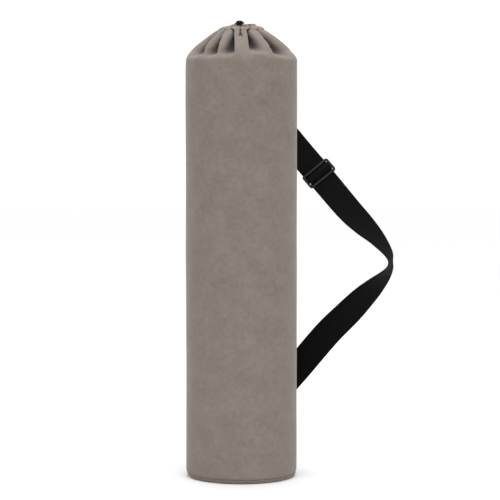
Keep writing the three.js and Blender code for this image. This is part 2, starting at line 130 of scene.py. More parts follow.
# Degrees from the front at the shoulder, under the hem and at the rim, share of a full fold,
# the rise at which the fold starts, the rise that it takes to open, and the width of its left
# and of its right slope: the cloth laps over on the narrow side
folds = (
    (-55.0, -63.0, -84.0, 1.20, 0.04, 0.40, 2.2, 0.8),
    (-34.0, -45.0, -68.0, 1.15, 0.03, 0.42, 2.5, 0.8),
    (-11.8, -18.5, -48.0, 1.10, 0.05, 0.48, 2.3, 1.2),
    (0.0, -3.0, -3.0, 0.90, 0.68, 0.05, 2.0, 2.0),
    (13.2, 14.0, 42.0, 1.10, 0.20, 0.38, 0.9, 2.0),
    (46.5, 43.0, 66.0, 1.00, 0.04, 0.36, 0.8, 2.7),
    (80.0, 76.0, 88.0, 0.30, 0.11, 0.32, 0.9, 1.3),
    (103.0, 100.0, 108.0, 0.90, 0.14, 0.28, 1.8, 0.9),
    (129.0, 128.0, 131.0, 0.85, 0.11, 0.32, 0.9, 1.8),
    (156.0, 154.0, 155.0, 1.00, 0.16, 0.28, 0.9, 1.7),
    (183.0, 181.0, 181.0, 0.85, 0.11, 0.32, 1.6, 0.9),
    (209.0, 208.0, 206.0, 0.95, 0.15, 0.28, 1.8, 0.9),
    (235.0, 234.0, 230.0, 0.80, 0.11, 0.32, 0.9, 1.8),
    (259.0, 257.0, 250.0, 0.95, 0.13, 0.29, 1.8, 0.9),
    (280.0, 277.0, 262.0, 0.35, 0.11, 0.32, 1.3, 0.9),
)
fold_slant = 0.2
lap_turn = math.radians(5)
column_crowding = 0.65

# Rises at which the folds reach their places under the hem, and at which the hem is stitched
head_rise = 0.85
hem_stitch_rise = 0.845

# How far the drawn-up mouth leans to the right, and how far its rim hangs down in front
mouth_lean = 0.0022
rim_hang = 0.0023

# The rim and the turned-in hem: radius, drop below the rim, depth of the folds, and how far
# the ridges carry the channel outwards, in millimetres
rim_rows = (
    (18.9, 1.20, 3.4, 0), (18.2, 0.55, 3.0, 0), (16.9, 0.12, 2.3, 0), (15.2, 0.00, 1.5, 0),
    (13.6, 0.00, 0.5, 0), (12.2, 0.20, 0.1, 0), (11.2, 0.75, 0.0, 0), (10.75, 1.60, 0.0, 0),
    (10.7, 3.40, 0.0, 0), (10.7, 6.00, 0.0, 0), (10.7, 8.50, 0.0, 0), (10.95, 8.90, 0.0, 0),
    (11.35, 9.05, 0.0, 0), (11.75, 8.90, 0.0, 0), (12.0, 8.50, 0.0, 0), (12.0, 5.50, 0.0, 0),
    (12.0, 2.60, 0.0, 0), (12.4, 1.60, 0.0, 0), (13.4, 1.30, 0.0, 0), (14.5, 1.50, 0.0, 1.2),
    (14.8, 2.60, 0.0, 2.0), (14.9, 4.20, 0.0, 2.6),
)


def soft_step(low, high, value):
    t = min(max((value - low) / (high - low), 0.0), 1.0)
    return t * t * (3 - 2 * t)


def smooth_between(a, b, leave, arrive, t):
    """A value on the way from a to b that leaves and arrives at the given slopes."""
    return (a * (2 * t ** 3 - 3 * t ** 2 + 1) + leave * (t ** 3 - 2 * t ** 2 + t)
            + b * (3 * t ** 2 - 2 * t ** 3) + arrive * (t ** 3 - t ** 2))


def read_table(table, at):
    """Smooth values between the rows of a table. Its first column is what at is measured in."""
    last = len(table) - 1
    i = max([k for k in range(last) if table[k][0] <= at] or [0])
    a, b = table[i], table[i + 1]
    before, after = table[max(i - 1, 0)], table[min(i + 2, last)]
    span = b[0] - a[0]
    t = min(max((at - a[0]) / span, 0.0), 1.0)
    values = []
    for c in range(1, len(a)):
        leave = (b[c] - before[c]) / (b[0] - before[0]) * span
        arrive = (after[c] - a[c]) / (after[0] - a[0]) * span
        values.append(smooth_between(a[c], b[c], leave, arrive, t))
    return values


def fold_angle(index, rise):
    """Angle of a fold in degrees. Indexes past the last fold go on round the bag."""
    foot, head, rim = folds[index % len(folds)][:3]
    angle = foot + (head - foot) * (min(rise, head_rise) / head_rise) ** 3
    angle += (rim - head) * soft_step(0.82, 0.98, rise)
    return angle + 360 * (index // len(folds))


def fold_depth(index, rise):
    share, start, ramp = folds[index % len(folds)][3:6]
    return share * soft_step(start, start + ramp, rise)


def in_fold(place, half_width, rise):
    """Share of a fold's depth at one place: round and open low down, pinched near the hem."""
    place = min(place / half_width, 1.0)
    pinched = soft_step(0.55, 0.78, rise)
    return (1 - place) ** 1.5 * pinched + (1 - soft_step(0, 1, place)) * (1 - pinched)


def cloth_columns(rise):
    """Angle, share of a full fold, place between two folds and fold number of each column."""
    half_width = read_table(gather_rows, rise)[2]
    under = lap_turn * (1 - soft_step(0.62, 0.82, rise))
    columns = []
    for k in range(len(folds)):
        left = fold_angle(k, rise)
        gap = fold_angle(k + 1, rise) - left
        lap, width = folds[k][6:8]
        next_width, next_lap = folds[(k + 1) % len(folds)][6:8]
        for c in range(columns_per_fold):
            t = c / columns_per_fold
            u = t - column_crowding * math.sin(2 * math.pi * t) / (2 * math.pi)
            slant = fold_slant * u * max(width - 1, 0.0)
            next_slant = fold_slant * (1 - u) * max(next_width - 1, 0.0)
            here = in_fold(u, half_width * width, rise) * fold_depth(k, rise + slant)
            there = (in_fold(1 - u, half_width * next_width, rise)
                     * fold_depth(k + 1, rise + next_slant))
            turned = under * (here * (lap - width) + there * (next_width - next_lap))
            columns.append((math.radians(left + gap * u) + turned, here + there, u, k))
    return columns


def round_the_bag(radius, angle, height):
    return Vector((radius * math.sin(angle), -radius * math.cos(angle), height))


def corner_radius(height):
    drop = max(0.0, (base_corner_rise - height) / base_corner_rise)
    return bag_radius - base_corner_reach + base_corner_reach * math.sqrt(1 - drop * drop)


def wave(angle, height, pitch, seed):
    """Smooth noise on the cloth, about 1 high each way, with the given size of its waves."""
    around = bag_radius / pitch
    return noise.noise(Vector((math.sin(angle) * around, math.cos(angle) * around + seed,
                               height / pitch)))


def ripple(angle, height):
    """The small waves that the cloth has at the shoulder."""
    return wave(angle, height, 0.016, 5.7)


def pucker(k, u, up):
    """The puckers that the hem's stitches leave in the cloth beside fold k."""
    return noise.noise(Vector((k * 5.1 + u * 5.2, up, 9)))


def tube_ring(height):
    """One ring of the straight tube. Its foot is turned in a little at the base's seam."""
    ring = []
    near_base = 0.0003 * (1 - soft_step(0.006, 0.024, height))
    near_shoulder = 0.0005 * soft_step(0.575, 0.612, height)
    turned_in = 0.0007 * (1 - soft_step(0, 0.0022, height - body_foot))
    for j, (angle, _, _, _) in enumerate(cloth_columns(0)):
        radius = corner_radius(height) - turned_in
        radius += 0.0005 * wave(angle, height * 0.45, 0.045, 3.1)
        radius += near_base * wave(angle, height, 0.007, 8.2)
        radius += near_shoulder * ripple(angle, height)
        if j == seam_column:
            radius -= seam_dip
        ring.append(round_the_bag(radius, angle, height))
    return ring


def rim_dip(angle):
    """How far the rim hangs down in front, where it opens a little round the stopper."""
    front = math.degrees(math.atan2(math.sin(angle), math.cos(angle)))
    return rim_hang * soft_step(-52, -28, front) * (1 - soft_step(34, 48, front))


def gather_ring(rise):
    """One ring of the gathered top: ridges, folds between them, and the hem's puckers."""
    reach, sink, _ = read_table(gather_rows, rise)
    height = shoulder_height + gather_height * rise
    above_hem = soft_step(0.85, 0.90, rise) * (1 - soft_step(0.93, 0.965, rise))
    puff = 0.0006 * soft_step(0.15, 0.45, rise) * (1 - soft_step(0.75, 0.95, rise))
    crumple = 0.0010 * soft_step(0.1, 0.4, rise)
    lean = mouth_lean * soft_step(0.84, 0.97, rise)
    stitch_pull = 0.0010 * math.exp(-((rise - hem_stitch_rise) / 0.018) ** 2)
    dip_share = soft_step(0.88, 0.965, rise)
    ring = []
    for j, (angle, sunk, u, k) in enumerate(cloth_columns(rise)):
        radius = bag_radius * (reach - sink * sunk) + puff * math.sin(math.pi * u) ** 2
        radius += 0.0007 * (1 - rise) * ripple(angle, height)
        radius += crumple * noise.noise(Vector((k * 7.3 + u * 2.6, rise * 2.2, 4)))
        radius += (0.0015 + 0.0012 * pucker(k, u, rise * 3.0)) * above_hem
        radius += lean * math.sin(angle) - stitch_pull
        if j == seam_column:
            radius -= seam_dip * (1 - rise)
        ring.append(round_the_bag(radius, angle, height - rim_dip(angle) * dip_share))
    return ring


def rim_ring(radius, drop, depth, carried):
    """One ring of the rim or of the hem inside it, given in millimetres as in rim_rows."""
    in_sight = carried == 0
    lean = 1000 * mouth_lean * soft_step(12, 18, radius) * in_sight
    lift = 0.7 * soft_step(12, 15, radius) * in_sight
    puckered = 0.8 * soft_step(11.5, 16, radius)
    dip_share = 1 - soft_step(4, 9, drop)
    ring = []
    for angle, sunk, u, k in cloth_columns(1):
        sunk = min(sunk, 1.0)
        r = radius - depth * sunk + carried * (1 - sunk)
        r += puckered * pucker(k, u, 2.9) + lean * math.sin(angle)
        rise = (lift * math.sin(angle) - drop) / 1000 - rim_dip(angle) * dip_share
        ring.append(round_the_bag(r / 1000, angle, rim_height + rise))
    return ring


def outward_at(rings, i, j):
    """The cloth's own outward direction at one place."""
    below, above = rings[max(i - 1, 0)][j], rings[min(i + 1, len(rings) - 1)][j]
    left, right = rings[i][j - 1], rings[i][(j + 1) % len(rings[i])]
    return (right - left).cross(above - below).normalized()


def loft(rings, around, along, closed, shades=()):
    """Draws out a first ring of edges ring by ring, and maps it in metres around and along.

    Shades fill a vertex attribute of painted shade, with one value for each column of each ring.
    """
    bm = bmesh.new()
    in_shade = bm.verts.layers.float.new("in_shade")
    column = bm.verts.layers.int.new("column")
    row = bm.verts.layers.int.new("row")
    count = len(rings[0])
    ring = bmesh.ops.create_circle(bm, cap_ends=False, segments=count, radius=1)["verts"]
    for j, vert in enumerate(ring):
        vert[column] = j
        vert.co = rings[0][j]
    first_ring, first_edges = list(ring), list(bm.edges)
    edges = first_edges
    for i in range(1, len(rings)):
        made = bmesh.ops.extrude_edge_only(bm, edges=edges)["geom"]
        ring = [v for v in made if isinstance(v, bmesh.types.BMVert)]
        for vert in ring:
            vert[row] = i
            vert.co = rings[i][vert[column]]
        fresh = set(ring)
        edges = [e for e in made if isinstance(e, bmesh.types.BMEdge)
                 and e.verts[0] in fresh and e.verts[1] in fresh]
    for vert in bm.verts:
        if vert[row] < len(shades):
            vert[in_shade] = shades[vert[row]][vert[column]]
    if closed:
        bmesh.ops.bridge_loops(bm, edges=edges + first_edges)
    else:
        bmesh.ops.contextual_create(bm, geom=first_ring)
        bmesh.ops.contextual_create(bm, geom=sorted(ring, key=lambda v: v[column]))
    bmesh.ops.recalc_face_normals(bm, faces=bm.faces)
    uv = bm.loops.layers.uv.new("weave")
    for face in bm.faces:
        face_columns = [loop.vert[column] for loop in face.loops]
        face_rows = [loop.vert[row] for loop in face.loops]
        for loop in face.loops:
            j, i = loop.vert[column], loop.vert[row]
            if j == 0 and count - 1 in face_columns:
                j = count
            if i == 0 and closed and len(rings) - 1 in face_rows:
                i = len(rings)
            loop[uv].uv = (around[j], along[i])
    return bm


def show_piece(name, bm, material):
    mesh = bpy.data.meshes.new(name)
    bm.to_mesh(mesh)
    bm.free()
    mesh.shade_smooth()
    mesh.materials.append(material)
    piece = bpy.data.objects.new(name, mesh)
    bpy.context.scene.collection.objects.link(piece)
    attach(piece, "root")
    return piece


def feed(tree, node, inputs):
    """Fills a node's inputs, by name or number: a socket is linked, anything else is set."""
    for name, value in inputs.items():
        if isinstance(value, bpy.types.NodeSocket):
            tree.links.new(value, node.inputs[name])
        else:
            node.inputs[name].default_value = value


def add_node(tree, kind, settings=None, inputs=None):
    node = tree.nodes.new("ShaderNode" + kind)
    for name, value in (settings or {}).items():
        setattr(node, name, value)
    feed(tree, node, inputs or {})
    return node


def math_node(tree, operation, *values):
    node = add_node(tree, "Math", {"operation": operation}, dict(enumerate(values)))
    return node.outputs[0]


# Plain weave, as a height: threads that go over and under each other, so many to the metre
weave = bpy.data.node_groups.new("plain_weave", "ShaderNodeTree")
weave.interface.new_socket("Surface", in_out="INPUT", socket_type="NodeSocketVector")
for socket in ("Threads Across", "Threads Along"):
    weave.interface.new_socket(socket, in_out="INPUT", socket_type="NodeSocketFloat")
weave.interface.new_socket("Height", in_out="OUTPUT", socket_type="NodeSocketFloat")
weave_in = weave.nodes.new("NodeGroupInput")
weave_out = weave.nodes.new("NodeGroupOutput")


def thread_tops(position):
    """Height of round threads side by side, from places counted in threads."""
    halfway = math_node(weave, "MULTIPLY", position, math.pi)
    return math_node(weave, "ABSOLUTE", math_node(weave, "SINE", halfway))


surface = add_node(weave, "SeparateXYZ", None, {"Vector": weave_in.outputs["Surface"]})
across = math_node(weave, "MULTIPLY", surface.outputs["X"], weave_in.outputs["Threads Across"])
along = math_node(weave, "MULTIPLY", surface.outputs["Y"], weave_in.outputs["Threads Along"])
crossings = math_node(
    weave, "ADD", math_node(weave, "FLOOR", across), math_node(weave, "FLOOR", along))
over = math_node(weave, "ABSOLUTE", math_node(weave, "MODULO", crossings, 2.0))
under = math_node(weave, "SUBTRACT", 1.0, over)
feed(weave, weave_out, {"Height": math_node(
    weave, "ADD", math_node(weave, "MULTIPLY", over, thread_tops(across)),
    math_node(weave, "MULTIPLY", under, thread_tops(along)))})


def woven(tree, surface, threads_across, threads_along):
    """Height of the weave on a surface, with so many threads to the metre each way."""
    return add_node(tree, "Group", {"node_tree": weave}, {
        "Surface": surface, "Threads Across": threads_across,
        "Threads Along": threads_along}).outputs["Height"]


def grain(tree, place, scale, detail, roughness=0.5):
    """Noise from 0 to 1 that is fixed to the piece."""
    return add_node(tree, "TexNoise", None, {
        "Vector": place.outputs["Object"], "Scale": scale, "Detail": detail,
        "Roughness": roughness}).outputs["Fac"]


def spread(tree, value, low, high, new_low=0.0, new_high=1.0):
    """Carries the values from low to high over to those from new_low to new_high."""
    return add_node(tree, "MapRange", None, {
        "Value": value, "From Min": low, "From Max": high, "To Min": new_low,
        "To Max": new_high}).outputs["Result"]


def mix_colours(tree, share, first, second, blend="MIX"):
    """Inputs 6 and 7 and output 2 are the node's colours. The others are for plain values."""
    return add_node(tree, "Mix", {"data_type": "RGBA", "blend_type": blend}, {
        0: share, 6: first, 7: second}).outputs[2]


def bumps(tree, height, strength, distance, under=None):
    lower = {} if under is None else {"Normal": under}
    return add_node(tree, "Bump", None, {
        "Height": height, "Strength": strength, "Distance": distance, **lower}).outputs["Normal"]


def new_material(name):
    """A material with its tree, its shader and the node that gives places on the piece."""
    material = bpy.data.materials.new(name)
    material.use_nodes = True
    tree = material.node_tree
    return material, tree, tree.nodes["Principled BSDF"], add_node(tree, "TexCoord")


def canvas_material(name, pale, dark):
    """Brushed canvas: a close weave under a short nap, with clouds of slightly paler cloth.

    Painted shade takes it to nearly black where the vertex attribute says that a fold or the mouth
    closes.
    """
    material, tree, shader, place = new_material(name)
    clouds = grain(tree, place, 34.0, 3.0, 0.55)
    mottle = grain(tree, place, 150.0, 4.0, 0.6)
    nap = grain(tree, place, 900.0, 3.0, 0.6)
    both = add_node(tree, "Mix", {"data_type": "FLOAT"}, {0: 0.55, 2: clouds, 3: mottle})
    colour = mix_colours(tree, spread(tree, both.outputs[0], 0.32, 0.68), dark, pale)
    fibres = spread(tree, nap, 0.3, 0.7, 0.88, 1.12)
    grey = add_node(tree, "CombineColor", None, {"Red": fibres, "Green": fibres, "Blue": fibres})
    in_light = mix_colours(tree, 1.0, colour, grey.outputs[0], "MULTIPLY")
    # Painted shade: the cloth's colour is mixed towards near black by the vertex attribute
    in_shade = add_node(tree, "Attribute", {"attribute_name": "in_shade"})
    threads = woven(tree, place.outputs["UV"], 1500.0, 1300.0)
    nap_bumps = bumps(tree, nap, 0.3, 0.0004, bumps(tree, threads, 0.25, 0.0002))
    feed(tree, shader, {
        "Base Color": mix_colours(
            tree, in_shade.outputs["Fac"], in_light, (0.010, 0.006, 0.004, 1)),
        "Roughness": spread(tree, mottle, 0.3, 0.7, 0.82, 0.95), "Specular IOR Level": 0.25,
        "Sheen Weight": 0.2, "Sheen Roughness": 0.45, "Sheen Tint": (0.95, 0.97, 1.0, 1),
        "Normal": bumps(tree, mottle, 0.3, 0.0008, nap_bumps)})
    return material


canvas = canvas_material("taupe_canvas", (0.205, 0.171, 0.145, 1), (0.153, 0.127, 0.107, 1))

# Rings close together at the base's seam and at the shoulder, and evenly spaced between. The
# inner wall starts under the hem's channel and has the rings at the seam and every third one.
even_top = 0.596
even_steps = 66
seam_rings = 6
rings_beside_channel = 3
tube_heights = [body_foot + d / 1000 for d in (0, 0.4, 1.0, 2.0, 3.6, 5.6, 7.7)]
tube_heights += [base_corner_rise + (even_top - base_corner_rise) * i / even_steps
                 for i in range(1, even_steps + 1)]
tube_heights += [0.600, 0.604, 0.608, 0.611]
gather_steps = 56
gather_top = gather_rows[-1][0]
gather_rises = [gather_top * i / gather_steps for i in range(gather_steps + 1)]
outer_rings = [tube_ring(h) for h in tube_heights] + [gather_ring(r) for r in gather_rises]
inner_rings = []
for i in range(len(outer_rings) - 1 - rings_beside_channel, 0, -1):
    if i >= len(tube_heights) or i % 3 == 0 or i < seam_rings:
        inner_rings.append([p - outward_at(outer_rings, i, j) * cloth_wall
                            for j, p in enumerate(outer_rings[i])])
inner_foot = corner_radius(body_foot) - cloth_wall
foot_ring = [round_the_bag(inner_foot, c[0], body_foot) for c in cloth_columns(0)]
body_rings = outer_rings + [rim_ring(*r) for r in rim_rows] + inner_rings + [foot_ring]


def lengths_along(rings, j):
    """Distance along the piece at each ring, measured in one column."""
    lengths = [0.0]
    for i in range(1, len(rings) + 1):
        lengths.append(lengths[-1] + (rings[i % len(rings)][j] - rings[i - 1][j]).length)
    return lengths


body_around = [bag_radius * c[0] for c in cloth_columns(0)]
body_around.append(body_around[0] + 2 * math.pi * bag_radius)
ridge_column = columns_per_fold // 2

# Painted shade for the canvas: it grows with the depth of the folds, along the rim's creases, and
# inside the mouth with the drop below the rim
body_shades = [[0.0] * len(outer_rings[0])] * len(tube_heights)
for rise in gather_rises:
    sink = read_table(gather_rows, rise)[1]
    body_shades.append([0.97 * soft_step(0.02, 0.15, sink * c[1]) for c in cloth_columns(rise)])
# Painted shade along the creases of the rim and on the wall inside the mouth
for radius, drop, _, _ in rim_rows:
    painted_mouth_shade = 0.95 * soft_step(0.1, 1.7, drop) * (radius < 12)
    painted_crease_shade = 0.9 * soft_step(13, 16, radius)
    body_shades.append([max(painted_mouth_shade, painted_crease_shade * soft_step(0.3, 0.9, c[1]))
                        for c in cloth_columns(1)])
bag_body = show_piece("bag_body_cloth", loft(
    body_rings, body_around, lengths_along(body_rings, ridge_column), True, body_shades),
    canvas)
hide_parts("bag_body")


def sew(bm, start, end, out, thickness):
    """One visible stitch: a short rounded thread lying on the cloth from start to end."""
    way = end - start
    side = way.normalized().cross(out).normalized()
    up = side.cross(way.normalized())
    turn = Matrix((way / 2, side * thickness / 2, up * thickness / 2)).transposed().to_4x4()
    turn.translation = (start + end) / 2
    bmesh.ops.create_icosphere(bm, subdivisions=1, radius=1, matrix=turn)


def thread_material(name, colour):
    """Twisted sewing thread: fine diagonal twist and a slight shine."""
    material, tree, shader, place = new_material(name)
    twist = add_node(tree, "TexWave", {"bands_direction": "DIAGONAL"}, {
        "Vector": place.outputs["Object"], "Scale": 900.0, "Distortion": 1.0}).outputs["Fac"]
    dark = tuple(c * 0.75 for c in colour) + (1,)
    feed(tree, shader, {
        "Base Color": mix_colours(tree, twist, dark, colour + (1,)),
        "Roughness": 0.6, "Normal": bumps(tree, twist, 0.4, 0.0001)})
    return material


# Hem stitches and the back seam's stitches. One row of thread goes round the folded cloth
# under the drawcord, and one row holds the seam allowance flat beside the back seam.
stitch_width = 0.0005
stitch_lift = 0.3 * stitch_width
hem_stitch_pitch = 0.0024
hem_stitch_share = 0.75
seam_stitch = 0.003
seam_stitch_gap = 0.0009
seam_stitches_low = 0.012
seam_stitches_high = 0.606
allowance_columns = 4
taupe_thread = thread_material("taupe_thread", (0.23, 0.195, 0.165))
stitches = bmesh.new()
hem_row = len(tube_heights) + round(hem_stitch_rise / gather_top * gather_steps)
hem_ring = outer_rings[hem_row]
start = hem_ring[0] + outward_at(outer_rings, hem_row, 0) * stitch_lift
for j in [*range(1, len(hem_ring)), 0]:
    off_cloth = outward_at(outer_rings, hem_row, j)
    here = hem_ring[j] + off_cloth * stitch_lift
    if (here - start).length > hem_stitch_pitch:
        end = start + (here - start) * hem_stitch_share
        sew(stitches, start, end, off_cloth, stitch_width)
        start = here
beside_seam = cloth_columns(0)[seam_column + allowance_columns][0]
stitch_foot = seam_stitches_low
while stitch_foot < seam_stitches_high:
    low = round_the_bag(bag_radius + stitch_width / 2, beside_seam, stitch_foot)
    off_cloth = Vector((low.x, low.y, 0)).normalized()
    sew(stitches, low, low + Vector((0, 0, seam_stitch)), off_cloth, stitch_width)
    stitch_foot += seam_stitch + seam_stitch_gap
show_piece("hem_and_seam_stitches", stitches, taupe_thread)

# Base panel. A round dish of the same canvas, in a darker copy that paints the shade at the bag's
# foot, whose raised edge is sewn to the foot of the tube. The two edges are turned in, so the seam
# shows as a fine dark groove.
# A darker copy of the canvas: painted shade at the foot of the bag
panel_canvas_painted_shade = canvas_material(
    "taupe_canvas_base_painted_shade", (0.180, 0.149, 0.126, 1), (0.136, 0.112, 0.094, 1))
panel_steps = 160
edge_waves = 0.0003
map_radius = 0.07
flat_radii = (0, 0.020, 0.045, 0.066)
seat_radius = corner_radius(0)
edge_radius = corner_radius(base_seam_height)
panel_profile = [(radius, 0) for radius in flat_radii]
panel_profile += [(seat_radius - 0.0012, 0), (seat_radius - 0.0003, 0.0002)]
panel_profile += [(corner_radius(h), h) for h in (0.0007, 0.0016, 0.0028, 0.0041)]
panel_profile += [(corner_radius(0.0052) - 0.0001, 0.0051), (edge_radius - 0.0006, 0.0058)]
panel_profile += [(edge_radius - cloth_wall, base_seam_height), (edge_radius - 0.0019, 0.0054)]
panel_profile += [(seat_radius - 0.0006, cloth_wall + 0.0011), (seat_radius - 0.0018, cloth_wall)]
panel_profile += [(radius, cloth_wall) for radius in reversed(flat_radii)]


def turn_profile(profile, steps):
    """A solid from radii and heights turned once round the upright axis."""
    bm = bmesh.new()
    drawn = [bm.verts.new((radius, 0, height)) for radius, height in profile]
    drawn_edges = [bm.edges.new(pair) for pair in zip(drawn, drawn[1:])]
    bmesh.ops.spin(bm, geom=drawn + drawn_edges, axis=(0, 0, 1), cent=(0, 0, 0),
                   dvec=(0, 0, 0), angle=2 * math.pi, steps=steps, use_merge=True,
                   use_duplicate=False)
    bmesh.ops.remove_doubles(bm, verts=bm.verts, dist=1e-6)
    return bm


panel = turn_profile(panel_profile, panel_steps)
for vert in panel.verts:
    angle = math.atan2(vert.co.x, -vert.co.y)
    if vert.co.z > 0.0004 and Vector(vert.co.xy).length > seat_radius:
        way = Vector((vert.co.x, vert.co.y, 0)).normalized()
        vert.co += way * edge_waves * wave(angle, vert.co.z, 0.006, 2.4)
bmesh.ops.recalc_face_normals(panel, faces=panel.faces)
panel_uv = panel.loops.layers.uv.new("weave")
for face in panel.faces:
    for loop in face.loops:
        stretch = 1 + loop.vert.co.z / map_radius
        loop[panel_uv].uv = (loop.vert.co.x * stretch, loop.vert.co.y * stretch)
base_panel = show_piece("base_panel_cloth", panel, panel_canvas_painted_shade)
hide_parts("base_panel")

# Drawcord. A thin round braid in one closed loop: round the mouth inside the hem, out under
# the hem's edge at the left, up inside the mouth and through the stopper, where both strands
# meet in a small bight.
cord_diameter = 0.0022
cord_radius = cord_diameter / 2
mouth_radius = 0.0107
flap_radius = 0.012
flap_end = rim_height - 0.009
cord_ring_radius = 0.0134
cord_height = 0.6663
stopper_left = 0.0032
stopper_forward = 0.0051
stopper_diameter = 0.0084
stopper_hole_height = 0.6696
bight_length = 0.0036
bight_rise = 0.0014


def strand(side, dip, climb):
    """One strand, from the hem under the hem's edge and up inside the mouth to the stopper."""
    dip, climb = math.radians(dip), math.radians(climb)
    inside = mouth_radius - cord_radius - 2 * clearance
    under = flap_end - cord_radius - 2 * clearance
    y = -stopper_forward + side * (cord_diameter + clearance) / 2
    edge = stopper_diameter / 2
    low = stopper_hole_height - cord_diameter - cord_radius
    return [
        round_the_bag(cord_ring_radius, dip, cord_height - cord_diameter),
        round_the_bag(cord_ring_radius, (2 * dip + climb) / 3, under + cord_radius),
        round_the_bag((flap_radius + mouth_radius) / 2, climb, under),
        round_the_bag(inside, climb, under + cord_diameter),
        round_the_bag(inside, climb, low),
        Vector((-stopper_left - edge - cord_radius - clearance, y, stopper_hole_height)),
        Vector((-stopper_left, y, stopper_hole_height)),
        Vector((-stopper_left + edge, y, stopper_hole_height)),
    ]


def smooth_loop(points, steps):
    """Points on a smooth closed curve through the given ones, so many from each to the next."""
    line = []
    for i, a in enumerate(points):
        b, after = points[(i + 1) % len(points)], points[(i + 2) % len(points)]
        leave, arrive = (b - points[i - 1]) / 2, (after - a) / 2
        line += [smooth_between(a, b, leave, arrive, s / steps) for s in range(steps)]
    return line


def tube_rings(line, radius, sides):
    """Rings of a round tube along a closed line, each turned as little as possible."""
    rings = []
    side = (line[1] - line[-1]).normalized().orthogonal().normalized()
    for i, centre in enumerate(line):
        way = (line[(i + 1) % len(line)] - line[i - 1]).normalized()
        side = (side - way * side.dot(way)).normalized()
        up = way.cross(side)
        ring = []
        for j in range(sides):
            angle = 2 * math.pi * j / sides
            ring.append(centre + (side * math.cos(angle) + up * math.sin(angle)) * radius)
        rings.append(ring)
    return rings


hem_start, hem_sweep, hem_steps = -62, 290, 22
in_hem = []
for i in range(hem_steps + 1):
    angle = math.radians(hem_start + hem_sweep * i / hem_steps)
    in_hem.append(round_the_bag(cord_ring_radius, angle, cord_height - rim_dip(angle)))
bight_reach = stopper_diameter / 2 + bight_length - cord_radius
bight = Vector((-stopper_left + bight_reach, -stopper_forward, stopper_hole_height + bight_rise))
out_to_stopper, back_to_hem = strand(1, 242, 250), strand(-1, -76, -88)[::-1]
cord_line = smooth_loop(in_hem + out_to_stopper + [bight] + back_to_hem, 6)

cord_braid, tree, shader, place = new_material("black_cord_braid")
slanting = add_node(tree, "Mapping", None, {
    "Vector": place.outputs["UV"], "Rotation": (0, 0, math.radians(45))})
braid = woven(tree, slanting.outputs["Vector"], 1400.0, 1400.0)
feed(tree, shader, {
    "Base Color": mix_colours(tree, braid, (0.002, 0.002, 0.002, 1), (0.008, 0.008, 0.008, 1)),
    "Roughness": 0.75, "Sheen Weight": 0.08, "Normal": bumps(tree, braid, 0.7, 0.0003)})
cord_sides = 12
cord_tube = tube_rings(cord_line, cord_radius, cord_sides)
cord_around = [2 * math.pi * cord_radius * j / cord_sides for j in range(cord_sides + 1)]
drawcord = show_piece("drawcord_braid", loft(
    cord_tube, cord_around, lengths_along(cord_tube, 0), True), cord_braid)
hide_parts("drawcord")

# Cord stopper. A small moulded barrel with a slot for the two strands and a sprung button on
# top, which stands a little proud of the mouth.
stopper_top = rim_height + 0.0028
stopper_sides = 40
groove_pitch = 1.3
button_foot = -0.0019
button_oval = 1.08
button_shift = 0.0005

# Radii and heights in millimetres, from the barrel's foot up to the top of the button
barrel_profile = [(0, -13.6), (2.9, -13.6), (3.5, -13.4), (4.0, -12.9), (4.2, -12.2), (4.2, -10.6)]
for groove in range(4):
    low = -10.4 + groove * groove_pitch
    barrel_profile += [(4.2, low), (3.95, low + 0.2), (3.95, low + 0.6), (4.2, low + 0.8)]
barrel_profile += [(4.2, -4.4), (4.2, -1.9), (4.55, -1.5), (4.75, -0.9), (4.8, -0.2), (4.7, 0.6)]
barrel_profile += [(4.35, 1.3), (3.7, 1.9), (3.2, 2.15), (2.9, 2.1), (2.7, 2.3), (2.2, 2.5)]
barrel_profile += [(1.2, 2.6), (0, 2.6)]
barrel = turn_profile([(r / 1000, h / 1000) for r, h in barrel_profile], stopper_sides)
for vert in barrel.verts:
    if vert.co.z > button_foot:
        vert.co.x = vert.co.x * button_oval + button_shift
bmesh.ops.translate(
    barrel, verts=barrel.verts, vec=(-stopper_left, -stopper_forward, stopper_top))
bmesh.ops.recalc_face_normals(barrel, faces=barrel.faces)

black_plastic, tree, shader, place = new_material("black_moulded_plastic")
fine_grain = grain(tree, place, 2600.0, 3.0)
feed(tree, shader, {
    "Base Color": mix_colours(
        tree, fine_grain, (0.003, 0.003, 0.003, 1), (0.007, 0.007, 0.007, 1)),
    "Roughness": spread(tree, fine_grain, 0.0, 1.0, 0.48, 0.66), "Specular IOR Level": 0.2,
    "Normal": bumps(tree, fine_grain, 0.25, 0.0001)})
cord_stopper = show_piece("cord_stopper_barrel", barrel, black_plastic)
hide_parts("cord_stopper")

slot_size = (0.02, 0.0053, 0.0028, 1)
slot_place = Matrix.Translation((-stopper_left, -stopper_forward, stopper_hole_height))
slot_cutter = bmesh.new()
bmesh.ops.create_cube(slot_cutter, size=1, matrix=slot_place @ Matrix.Diagonal(slot_size))
slot_mesh = bpy.data.meshes.new("slot_cutter")
slot_cutter.to_mesh(slot_mesh)
slot_cutter.free()
slot_piece = bpy.data.objects.new("slot_cutter", slot_mesh)
bpy.context.scene.collection.objects.link(slot_piece)
cut = cord_stopper.modifiers.new("slot", "BOOLEAN")
cut.object = slot_piece
cut.solver = "EXACT"
bpy.context.view_layer.update()
cut_stopper = cord_stopper.evaluated_get(bpy.context.evaluated_depsgraph_get())
cut_mesh = bpy.data.meshes.new_from_object(cut_stopper)
cord_stopper.modifiers.clear()
cord_stopper.data = cut_mesh
bpy.data.objects.remove(slot_piece)

